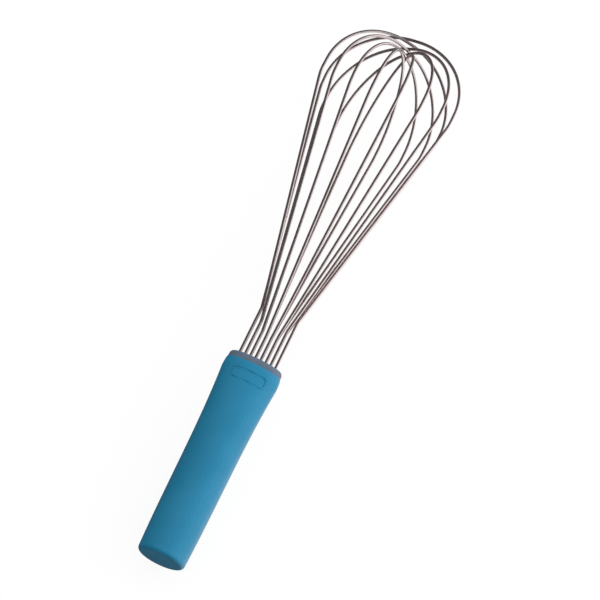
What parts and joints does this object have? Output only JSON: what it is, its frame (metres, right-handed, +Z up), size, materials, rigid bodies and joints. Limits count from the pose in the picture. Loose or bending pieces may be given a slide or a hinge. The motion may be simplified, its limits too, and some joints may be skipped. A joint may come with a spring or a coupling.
{
  "type": "balloon whisk",
  "caption": "Hand whisk with a moulded handle, a sealed flat mouth and crossed spring-steel wire loops that form an open balloon for beating and whipping.",
  "frame": {"origin": "centre of the bounding box at floor level, with the whisk lying on its back", "axes": "+Y from the handle's flat end towards the tip of the loops, +Z up, +X to the right of the front face with the tip ahead"},
  "size_m": [0.0824, 0.3494, 0.0858],
  "materials": {
    "handle_plastic": "fine-grained moulded plastic, mid blue",
    "seal_plastic": "smooth slate grey sealing plastic",
    "core_resin": "cast resin, hidden inside the handle",
    "anchor_steel": "punched stainless sheet, hidden inside the handle",
    "wire_steel": "bright drawn stainless spring wire"
  },
  "bodies": {
    "root": {"handle": "handle_plastic", "collar_seal": "seal_plastic", "resin_core": "core_resin", "anchor_plate": "anchor_steel", "wire_loop_1": "wire_steel", "wire_loop_2": "wire_steel", "wire_loop_3": "wire_steel", "wire_loop_4": "wire_steel", "wire_loop_5": "wire_steel", "wire_loop_6": "wire_steel", "wire_loop_7": "wire_steel", "wire_loop_8": "wire_steel"}
  },
  "joints": []
}
